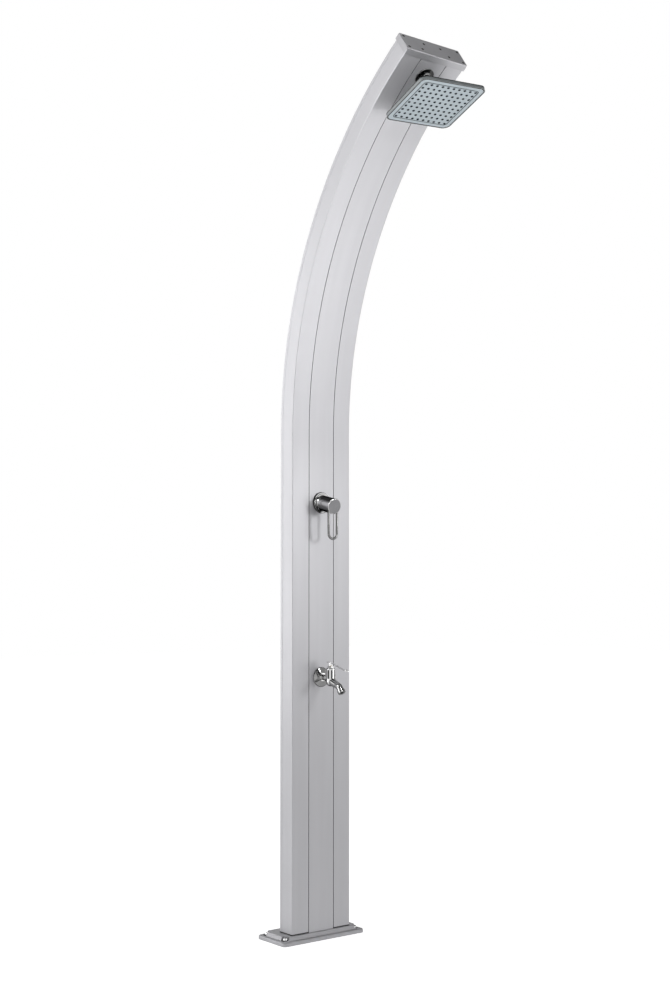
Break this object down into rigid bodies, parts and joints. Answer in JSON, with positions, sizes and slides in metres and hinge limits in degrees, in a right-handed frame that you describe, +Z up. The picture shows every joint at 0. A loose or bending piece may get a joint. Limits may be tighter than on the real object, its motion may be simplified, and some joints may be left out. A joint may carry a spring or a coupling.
{
  "type": "outdoor shower post",
  "caption": "Curved flat aluminium outdoor shower post on a bolted two-tier foot, with a square swivelling head, a single-lever mixer and a foot tap.",
  "frame": {"origin": "middle of the four floor bolts, on the ground", "axes": "+Z up, -Y the way the front of the post and its fittings face, +X across the width"},
  "size_m": [0.2778, 0.6958, 2.3772],
  "materials": {
    "anodised_aluminium": "satin silver anodised",
    "cast_aluminium": "satin cast, fine grain",
    "chrome": "polished chrome plate",
    "stainless_steel": "plain stainless steel",
    "dark_screws": "blackened steel",
    "brass": "machined brass",
    "black_rubber": "matt black rubber",
    "nozzle_rubber": "matt slate-blue silicone",
    "face_plastic": "satin pale blue-grey plastic",
    "grey_disc": "matt mid-grey",
    "plastic": "white engineering plastic",
    "ceramic": "polished white ceramic",
    "braided_hose": "braided steel over a rubber hose"
  },
  "bodies": {
    "post": {"column_profile": "anodised_aluminium", "front_panel": "anodised_aluminium", "top_cap": "anodised_aluminium", "foot_plate": "cast_aluminium", "dome_nuts": "chrome", "mixer_flange": "chrome", "cartridge_nut": "chrome", "tap_rose": "chrome", "tap_body": "chrome", "tap_nozzle": "chrome", "tap_bonnet": "chrome", "shower_rose": "chrome", "shower_stem": "chrome", "bolt_washers": "stainless_steel", "foot_screws": "stainless_steel", "cap_screws": "dark_screws", "mixer_body": "brass", "panel_locknuts": "brass", "tap_elbow": "brass", "shower_elbow": "brass", "hose_nuts": "brass", "hot_inlet": "brass", "cold_inlet_tee": "brass", "inlet_locknuts": "brass", "foot_seal": "black_rubber", "cap_gasket": "black_rubber", "mixer_seal": "black_rubber", "mixer_washer": "black_rubber", "inlet_washers": "black_rubber", "cartridge_housing": "plastic", "hose_clips": "plastic", "cartridge_disc": "ceramic", "tap_fixed_disc": "ceramic", "hot_hose": "braided_hose", "cold_hose": "braided_hose", "tap_hose": "braided_hose", "riser_hose": "braided_hose"},
    "mixer_rotor": {"cartridge_rotor": "plastic", "spindle_pin": "stainless_steel"},
    "mixer_handle": {"mixer_spindle": "brass", "handle_hub": "chrome", "hub_end_disc": "grey_disc", "hub_screw": "stainless_steel", "hub_grub_screw": "stainless_steel", "lever_loop": "chrome"},
    "tap_handle": {"tap_spindle": "brass", "tap_turning_disc": "ceramic", "tap_lever": "chrome", "tap_lever_screw": "stainless_steel"},
    "ball_bearing": {"ball_liner": "plastic"},
    "swivel": {"swivel_nut": "chrome"},
    "shower_head": {"ball_seat": "black_rubber", "inlet_boss": "brass", "filter_washer": "plastic", "head_shell": "chrome", "face_plate": "face_plastic", "nozzle_mat": "nozzle_rubber"}
  },
  "joints": [
    {"name": "mixer_temperature", "type": "hinge", "parent": "post", "child": "mixer_rotor", "pos_m": [0, -0.04475, 1.2], "axis": [0, -1, 0], "range_deg": [-45, 45]},
    {"name": "mixer_flow", "type": "hinge", "parent": "mixer_rotor", "child": "mixer_handle", "pos_m": [0, -0.04475, 1.2], "axis": [-1, 0, 0], "range_deg": [0, 24]},
    {"name": "tap_turn", "type": "hinge", "parent": "post", "child": "tap_handle", "pos_m": [0, -0.08725, 0.715], "axis": [0, 0, 1], "range_deg": [0, 90]},
    {"name": "head_tilt", "type": "hinge", "parent": "post", "child": "ball_bearing", "pos_m": [0, -0.5154, 2.24914], "axis": [1, 0, 0], "range_deg": [-48, 2]},
    {"name": "head_side_tilt", "type": "hinge", "parent": "ball_bearing", "child": "swivel", "pos_m": [0, -0.5154, 2.24914], "axis": [0, 0.9673, -0.2538], "range_deg": [-11.1, 8.9]},
    {"name": "head_spin", "type": "hinge", "parent": "swivel", "child": "shower_head", "pos_m": [0, -0.5154, 2.24914], "axis": [0.0192, 0.2537, 0.9671], "continuous": true}
  ]
}
